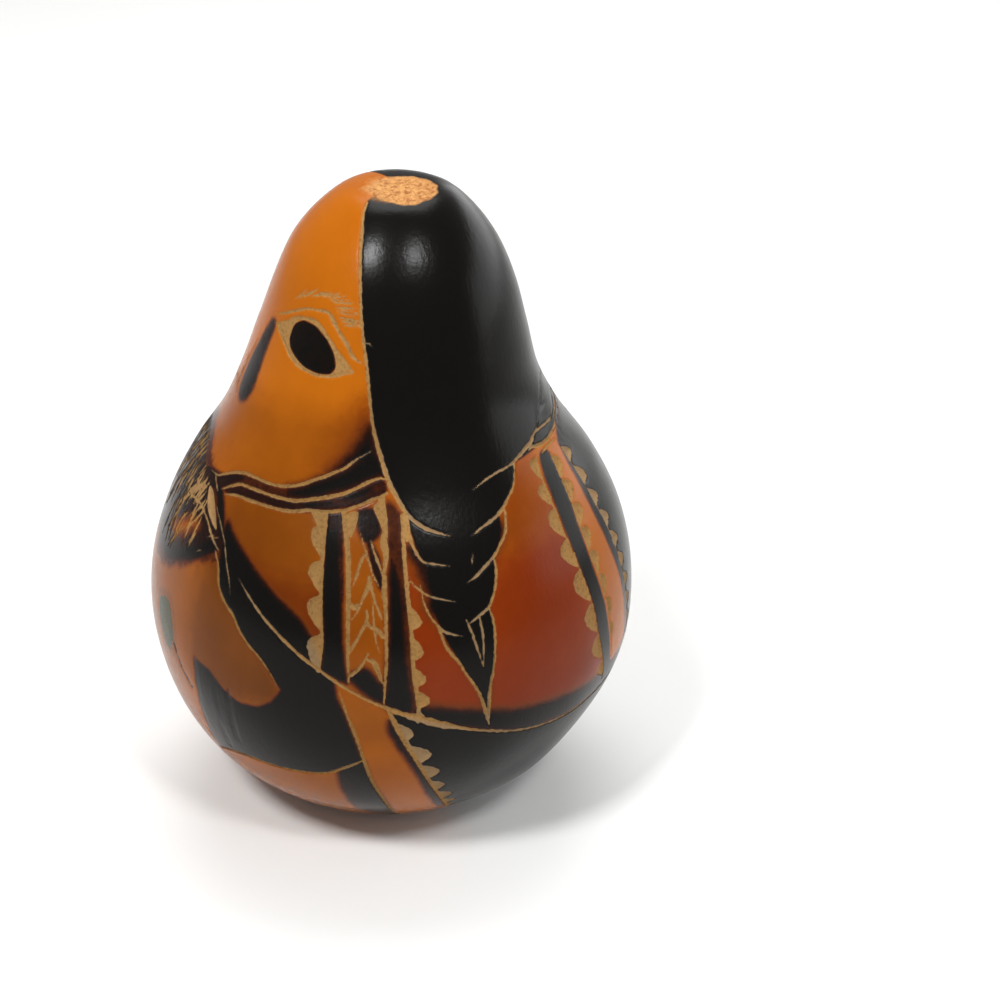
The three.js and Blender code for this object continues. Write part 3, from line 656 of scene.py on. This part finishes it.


# dye and brightness = sum of (share x value) / sum of shares over the areas, where the share is
# the squared smooth step of the distance inside. Bare skin has a small share everywhere. The
# brightness is partly painted shade.
def dyeAndShadeFields(angle, along):
    chart = foldChart(angle, along)
    bareShare, bareYellow, bareBright = .12, .6, .8
    dye = np.full(len(angle), bareYellow * bareShare)
    toneAndShadeField = np.full(len(angle), bareBright * bareShare)
    weight = np.full(len(angle), bareShare)
    for outline, soft, yellow, toneAndShade in dyedAndShadedAreas.values():
        inside = insideOutline(*chart, outline, 2 * soft)
        share = smoothStep(-soft, soft, inside) ** 2 + 1e-6
        dye += share * yellow
        toneAndShadeField += share * toneAndShade
        weight += share
    return dye / weight, toneAndShadeField / weight


# signed distance inside the stem scar, in mm: the radius with the rim's sines, less the squashed
# distance from its middle seen from above. Below the waist the scar is far away.
def scarField(points):
    waist = 60
    offX = points[:, 0] - stemScar["centre"][0]
    offY = points[:, 1] - stemScar["centre"][1]
    turn = np.arctan2(offY, offX)
    uneven = sum(size * np.sin(count * turn + start) for size, count, start in stemScar["rimWaves"])
    inside = stemScar["radius"] + uneven - np.hypot(offX / stemScar["squash"], offY)
    lost, near, far = stemScar["fade"]
    inside *= 1 - lost * smoothStep(near, far, offY)
    return np.where(points[:, 2] > waist, inside, -20)


# place of a vertex on the chart from its direction on the unit ball: the angle round, and the
# polar angle stretched over the length of the skin
def chartOf(direction):
    angle = np.degrees(np.arctan2(direction[:, 1], direction[:, 0]))
    along = skinLength * np.arccos(np.clip(-direction[:, 2], -1, 1)) / math.pi
    return angle, along


# wanted edge length at each vertex = finest + growth x (distance to the drawing - fineWithin),
# no longer than the coarsest
def wantedEdge(angle, along, place):
    scar = scarField(place)
    nearness = np.abs(carvingFields(angle, along)[0])
    nearness = np.minimum(nearness, burntFields(angle, along)[1] + meshing["burntBorderEase"])
    nearness = np.minimum(nearness, np.abs(scar))
    nearness = np.minimum(nearness, np.abs(plateField(angle, along)))
    wanted = meshing["finest"] + meshing["growth"] * np.maximum(nearness - meshing["fineWithin"], 0)
    wanted = np.minimum(wanted, meshing["coarsest"])
    wanted = np.where(scar > -.5, np.minimum(wanted, meshing["inScar"]), wanted)
    return wanted * np.where(np.abs(angle) > meshing["hiddenFrom"], meshing["hiddenLonger"], 1)


# each split face, with its corners turned so that the longest edge is a to b: the line from that
# edge's middle to c cuts it, and the middle of each other halved edge cuts its half again
def splitFaces(faces, middles, longest):
    order = (longest[:, None] + np.arange(3)) % 3
    a, b, c = np.take_along_axis(faces, order, axis=1).T
    m0, m1, m2 = np.take_along_axis(middles, order, axis=1).T
    one, two = m1 < 0, m2 < 0
    return [np.stack([m0, b, c], 1)[one], np.stack([m0, b, m1], 1)[~one], np.stack([m0, m1, c], 1)[~one],
            np.stack([a, m0, c], 1)[two], np.stack([a, m0, m2], 1)[~two], np.stack([m0, c, m2], 1)[~two]]


# longest-edge refinement: an edge is halved if it is longer than wanted where it lies, and each
# triangle with a halved edge has its longest edge halved as well, so no gaps open
def refine(direction, faces, rounds):
    for step in range(rounds):
        angle, along = chartOf(direction)
        place = skinPoint(angle, along)
        wanted = wantedEdge(angle, along, place)
        pairs = np.sort(np.stack([faces, np.roll(faces, -1, axis=1)], -1).reshape(-1, 2), axis=1)
        codes = pairs[:, 0] * np.int64(len(direction)) + pairs[:, 1]
        edges, which = np.unique(codes, return_inverse=True)
        which = which.reshape(-1, 3)
        low, high = edges // len(direction), edges % len(direction)
        length = np.linalg.norm(place[low] - place[high], axis=1)
        shorter = np.minimum(wanted[low], wanted[high])
        differ = np.abs(wanted[low] - wanted[high])
        tooLong = length > meshing["slack"] * shorter + meshing["blend"] * differ
        longest = np.argmax(length[which], axis=1)
        rowNumber = np.arange(len(faces))
        marked = np.zeros(len(edges), bool)
        asks = tooLong[which].any(axis=1)
        marked[which[rowNumber[asks], longest[asks]]] = True
        while True:
            touched = marked[which].any(axis=1)
            alsoHalved = which[rowNumber[touched], longest[touched]]
            if marked[alsoHalved].all():
                break
            marked[alsoHalved] = True
        if not marked.any():
            break
        middle = direction[low[marked]] + direction[high[marked]]
        middle /= np.linalg.norm(middle, axis=1, keepdims=True)
        newIndex = np.full(len(edges), -1)
        newIndex[marked] = len(direction) + np.arange(marked.sum())
        direction = np.vstack([direction, middle])
        split = marked[which].any(axis=1)
        pieces = splitFaces(faces[split], newIndex[which[split]], longest[split])
        faces = np.vstack([faces[~split]] + pieces)
    return direction, faces


# starting ball: rings of points at even polar angles, closed by one point at each pole
def startBall(around=48, up=40):
    polar = np.pi * np.arange(1, up) / up
    turn = 2 * np.pi * np.arange(around) / around
    ring = np.stack([np.sin(polar)[:, None] * np.cos(turn), np.sin(polar)[:, None] * np.sin(turn),
                     -np.cos(polar)[:, None] * np.ones(around)], -1).reshape(-1, 3)
    direction = np.vstack([ring, [[0, 0, -1], [0, 0, 1]]])
    row, col = np.meshgrid(np.arange(up - 2), np.arange(around), indexing="ij")
    a = (row * around + col).ravel()
    b = (row * around + (col + 1) % around).ravel()
    c, d = b + around, a + around
    base, crown = len(ring), len(ring) + 1
    k = np.arange(around)
    nextK = (k + 1) % around
    last = (up - 2) * around
    faces = np.vstack([np.stack([a, b, c], 1), np.stack([a, c, d], 1),
                       np.stack([np.full(around, base), nextK, k], 1),
                       np.stack([np.full(around, crown), last + k, last + nextK], 1)])
    return direction, faces


# the carved gourd: skin point moved inwards by the carving's depth and the scar's, and in or
# out by the rind's slow swells
def makeGourd():
    direction, faces = startBall()
    direction, faces = refine(direction, faces, meshing["rounds"])
    angle, along = chartOf(direction)
    place = skinPoint(angle, along)
    outward = skinOutward(angle, along)
    cut, depth = carvingFields(angle, along)
    burn, crisp = burntFields(angle, along)
    dye, toneAndShadeField = dyeAndShadeFields(angle, along)
    scar = scarField(place)
    swell = gourd["lumpHeight"] * ripple(place, gourd["lumpLengths"], seed=3)
    swell *= smoothStep(*gourd["lumpsBegin"], along)
    rough = stemScar["fibre"] * ripple(place, stemScar["fibreLengths"], seed=5)
    sunk = stemScar["depth"] * smoothStep(-.25, .9, scar) - rough * smoothStep(0, .8, scar)
    chatter = carving["chatter"] * ripple(place, carving["chatterLengths"], seed=9)
    chatter *= smoothStep(0, .2, cut)
    offScar = smoothStep(.3, -.3, scar)
    place = place + outward * (swell - (depth + chatter) * offScar - sunk)[:, None]
    place[:, 2] = np.maximum(place[:, 2], 0)
    mesh = bpy.data.meshes.new("carvedGourd")
    mesh.from_pydata(place * .001, [], faces)  # mm to m
    mesh.validate()
    mesh.shade_smooth()
    fields = {"cut": cut, "burn": burn, "dye": dye, "toneAndShadeField": toneAndShadeField, "scar": scar,
              "plate": plateField(angle, along)}
    for name, values in fields.items():
        layer = mesh.attributes.new(name, "FLOAT", "POINT")
        layer.data.foreach_set("value", values.astype(np.float32))
    piece = bpy.data.objects.new("carvedGourd", mesh)
    bpy.context.scene.collection.objects.link(piece)
    print("gourd mesh", len(place), "points", len(faces), "triangles")
    return piece


# Shader maths: a socket that takes part in Python sums
class Socket:
    def __init__(self, tree, socket):
        self.tree, self.socket = tree, socket

    def math(self, operation, *others):
        node = self.tree.nodes.new("ShaderNodeMath")
        node.operation = operation
        for slot, value in zip(node.inputs, (self, *others)):
            plug(self.tree, slot, value)
        return Socket(self.tree, node.outputs[0])

    def __add__(self, other):
        return self.math("ADD", other)

    def __mul__(self, other):
        return self.math("MULTIPLY", other)

    def __sub__(self, other):
        return self.math("SUBTRACT", other)

    def __rsub__(self, other):
        return (self * -1) + other

    __radd__ = __add__
    __rmul__ = __mul__


# a socket's value is another socket's link, or a plain number or colour
def plug(tree, slot, value):
    if isinstance(value, Socket):
        tree.links.new(value.socket, slot)
    else:
        slot.default_value = value


class Shader:
    def __init__(self, name):
        self.material = bpy.data.materials.new(name)
        self.material.use_nodes = True
        self.tree = self.material.node_tree
        self.surface = self.tree.nodes["Principled BSDF"]

    # any other node: its type, its settings, then the values or links of its sockets, by name
    # or, where names repeat, by an i and their number
    def node(self, kind, settings=None, output=0, **sockets):
        node = self.tree.nodes.new("ShaderNode" + kind)
        for key, value in (settings or {}).items():
            setattr(node, key, value)
        for key, value in sockets.items():
            numbered = key[0] == "i" and key[1:].isdigit()
            plug(self.tree, node.inputs[int(key[1:]) if numbered else key.replace("_", " ")], value)
        return Socket(self.tree, node.outputs[output])

    def attribute(self, name):
        return self.node("Attribute", {"attribute_name": name}, "Fac")

    def noise(self, scale, detail, roughness=.55, stretch=None):
        place = self.node("TexCoord", None, "Object")
        if stretch:
            place = self.node("Mapping", None, 0, Vector=place, Scale=stretch)
        return self.node("TexNoise", None, "Fac", Vector=place, Scale=scale, Detail=detail,
                         Roughness=roughness)

    # 0 up to low, 1 from high on, with a smooth step between them
    def ease(self, value, low, high):
        return self.node("MapRange", {"interpolation_type": "SMOOTHSTEP"}, "Result",
                         Value=value, From_Min=low, From_Max=high)

    def blend(self, share, first, second):
        return self.node("Mix", {"data_type": "RGBA"}, 2, i0=share, i6=first, i7=second)

    def scaled(self, colour, amount):
        return self.node("VectorMath", {"operation": "SCALE"}, 0, Vector=colour, Scale=amount)

    def set(self, **sockets):
        for key, value in sockets.items():
            plug(self.tree, self.surface.inputs[key.replace("_", " ")], value)


# Colours are linear; scales are noise cells per metre
rindLook = {
    "deepOrange": (.26, .03, .001, 1), "brightOrange": (.45, .118, .003, 1),
    "singed": (.11, .022, .002, 1), "maroon": (.016, .0034, .0016, 1), "black": (.0032, .0026, .002, 1),
    "flesh": (.31, .165, .05, 1), "fleshDark": (.13, .06, .018, 1), "fleshInBlack": (.22, .16, .1, 1),
    "scarLight": (.6, .32, .11, 1), "scarDark": (.27, .1, .028, 1),
    "plateFill": (.05, .05, .026, 1), "plateRim": (.02, .022, .014, 1),
    "cloudScale": 60, "mottleScale": 420, "grainScale": 1900, "corkScale": 1500, "pitScale": 900,
    "brushedScale": 1500, "brushedStretch": (1, 1, .14),
    "gloss": .24, "fleshRougher": .45, "shine": .11, "bumpStrength": .45, "bumpHeight": .0002,
}


# rind: dye colour scaled by the brightness field, which is partly painted shade, then the burn
# from orange over maroon to black by the burn field, then the plate, then the bare flesh where the
# cut field is positive, darkened by the same painted shade, then the corky stem scar
def rindMaterial():
    look = rindLook
    rind = Shader("lacqueredRind")
    burn, cut, dye, toneAndShade = (rind.attribute(name) for name in ("burn", "cut", "dye", "toneAndShadeField"))
    scar, plate = rind.attribute("scar"), rind.attribute("plate")
    cloud = rind.noise(look["cloudScale"], 3)
    mottle = rind.noise(look["mottleScale"], 4, .6)
    grain = rind.noise(look["grainScale"], 3, .6)
    cork = rind.noise(look["corkScale"], 4, .7)
    brushed = rind.noise(look["brushedScale"], 3, .6, look["brushedStretch"])

    yellow = rind.ease(dye + (cloud - .5) * .35 + (mottle - .5) * .12, .05, 1)
    orange = rind.blend(yellow, look["deepOrange"], look["brightOrange"])
    # painted shade: the orange is scaled by the brightness field, darker on the lower areas that turn
    # down from the light
    orange = rind.scaled(orange, toneAndShade + (cloud - .5) * .2)
    edge = burn + (cloud - .5) * .8 + (mottle - .5) * .9 + (grain - .5) * .5
    colour = rind.blend(rind.ease(edge, -1.5, -.1), orange, look["singed"])
    colour = rind.blend(rind.ease(edge, -.7, .5), colour, look["maroon"])
    colour = rind.blend(rind.ease(edge, .1, 1.1), colour, look["black"])

    patina = rind.blend(rind.ease(plate, .5, .8), look["plateRim"], look["plateFill"])
    colour = rind.blend(rind.ease(plate + (grain - .5) * .15, -.05, .12), colour, patina)

    pale = rind.ease(grain + (mottle - .5) * .3, .1, .58)
    flesh = rind.blend(pale, look["fleshDark"], look["flesh"])
    flesh = rind.blend(rind.ease(burn, 0, 1.2) * .55, flesh, look["fleshInBlack"])
    # painted shade: the bare flesh is darkened by the same brightness field on the lower, downward-turned
    # areas
    flesh = rind.scaled(flesh, toneAndShade * .6 + .48)
    colour = rind.blend(rind.ease(cut + (grain - .5) * .12, -.05, .09), colour, flesh)

    pits = rind.ease(rind.noise(look["pitScale"], 3, .6), .36, .5)
    corky = rind.blend(pits * rind.ease(cork, .2, .8), look["scarDark"], look["scarLight"])
    onScar = rind.ease(scar + (mottle - .5) * .9, -.35, .35)
    colour = rind.blend(onScar, colour, corky)

    dull = rind.ease(cut, -.28, -.02).math("MAXIMUM", onScar)
    roughness = dull * look["fleshRougher"] + (look["gloss"] + (mottle - .5) * .06)
    polished = mottle * .06 + grain * .1 + brushed * .4
    height = polished * (1 - dull) + (grain * .5 + cork * .6) * dull
    bump = rind.node("Bump", Strength=look["bumpStrength"], Distance=look["bumpHeight"], Height=height)
    rind.set(Base_Color=colour, Roughness=roughness, Normal=bump, Specular_IOR_Level=look["shine"])
    return rind.material


# lamps: azimuth and elevation in degrees, distance and size in m, power in W, the point that they
# are aimed at in m, and the angle that the beam is held within in degrees
room = {
    "floorColour": (.74, .74, .73, 1),
    "floorVeil": (.7, .7, .69, 1),
    "floorRoughness": .8,
    "floorReach": 3,       # m, half the floor's side
    "worldStrength": .35,
    "lamps": {
        "keyLeft": (-35, 51, 1.1, (.2, .2), 1.05, (0, 0, .08), 60),
        "keyRight": (28, 50, 1.1, (.18, .18), .525, (0, 0, .08), 60),
        "overhead": (180, 74, 1.1, (.8, .8), 3.8, (-.2, 0, 0), 110),
        "side": (124, 11, 1.2, (2.4, .5), 7, (0, 0, .08), 150),
    },
}


# a flat square of pale paper with a faint cloudy veil
def makeFloor():
    reach = room["floorReach"]
    mesh = bpy.data.meshes.new("studioFloor")
    corners = [(-reach, -reach, 0), (reach, -reach, 0), (reach, reach, 0), (-reach, reach, 0)]
    mesh.from_pydata(corners, [], [(0, 1, 2, 3)])
    paper = Shader("floorPaper")
    veiled = paper.blend(paper.noise(6, 2) * .04, room["floorColour"], room["floorVeil"])
    paper.set(Base_Color=veiled, Roughness=room["floorRoughness"])
    mesh.materials.append(paper.material)
    floor = bpy.data.objects.new("studioFloor", mesh)
    bpy.context.scene.collection.objects.link(floor)


# a softbox hung at (azimuth, elevation, distance) round the aimed point and turned to face it
def addSoftbox(name, azimuth, elevation, distance, size, power, aim, grid):
    light = bpy.data.lights.new(name, "AREA")
    light.shape = "RECTANGLE"
    light.size, light.size_y = size
    light.energy = power
    light.spread = math.radians(grid)
    lamp = bpy.data.objects.new(name, light)
    a, e = math.radians(azimuth), math.radians(elevation)
    offset = Vector((math.cos(e) * math.cos(a), math.cos(e) * math.sin(a), math.sin(e))) * distance
    lamp.location = Vector(aim) + offset
    lamp.rotation_euler = offset.to_track_quat("Z", "Y").to_euler()
    bpy.context.scene.collection.objects.link(lamp)


def lightRoom():
    world = bpy.data.worlds.new("paleRoom")
    bpy.context.scene.world = world
    world.use_nodes = True
    background = world.node_tree.nodes["Background"]
    background.inputs["Color"].default_value = (1, 1, 1, 1)
    background.inputs["Strength"].default_value = room["worldStrength"]
    for name, lamp in room["lamps"].items():
        addSoftbox(name, *lamp)


# The view: the eye is this far in m from a point on the gourd's axis, at this elevation over +X.
# The point falls left of the picture's middle, at aimPixel, and the picture is turned by roll.
# Angles are in degrees, focal is in pixels and sensor in mm.
view = {
    "elevation": 28, "distance": .45, "aim": (0, .00115, .06),
    "focal": 2412, "aimPixel": (391.9, 492.8), "roll": 1, "pixels": 1000, "sensor": 36,
}


# camera turn = look along -X down by the elevation, then the picture's roll, then a yaw and a
# pitch that bring the aimed point to its pixel
def makeCamera():
    elevation = math.radians(view["elevation"])
    back = Vector((math.cos(elevation), 0, math.sin(elevation)))
    right = Vector((0, 1, 0))
    up = back.cross(right)
    look = Matrix((right, up, back)).transposed()
    offX = view["aimPixel"][0] - view["pixels"] / 2
    offY = view["pixels"] / 2 - view["aimPixel"][1]
    yaw = Matrix.Rotation(math.atan2(offX, view["focal"]), 3, "Y")
    pitch = Matrix.Rotation(-math.atan2(offY, math.hypot(view["focal"], offX)), 3, "X")
    roll = Matrix.Rotation(math.radians(view["roll"]), 3, "Z")
    camera = bpy.data.cameras.new("camera")
    camera.sensor_width = view["sensor"]
    camera.lens = view["focal"] / view["pixels"] * view["sensor"]
    camera.clip_start = .01
    eye = bpy.data.objects.new("camera", camera)
    turn = look @ roll @ yaw @ pitch
    eye.matrix_world = Matrix.Translation(Vector(view["aim"]) + back * view["distance"]) @ turn.to_4x4()
    bpy.context.scene.collection.objects.link(eye)
    bpy.context.scene.camera = eye
    bpy.context.scene.view_settings.view_transform = "Standard"


makeCamera()
makeFloor()
lightRoom()
print("camera, floor and lights set")
lineSource = {**carvedLines, **hatchStrokes()}
allLines = {name: throughPoints(points, perPiece=6) for name, points in lineSource.items()}
allBurnt = {name: throughPoints(points, perPiece=6) for name, points in burntLines.items()}
allBorders = {name: throughPoints(item["line"], perPiece=8) for name, item in borders.items()}
carved = makeGourd()
carved.data.materials.append(rindMaterial())
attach(carved, "root")
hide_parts("gourd")
print("gourd finished")
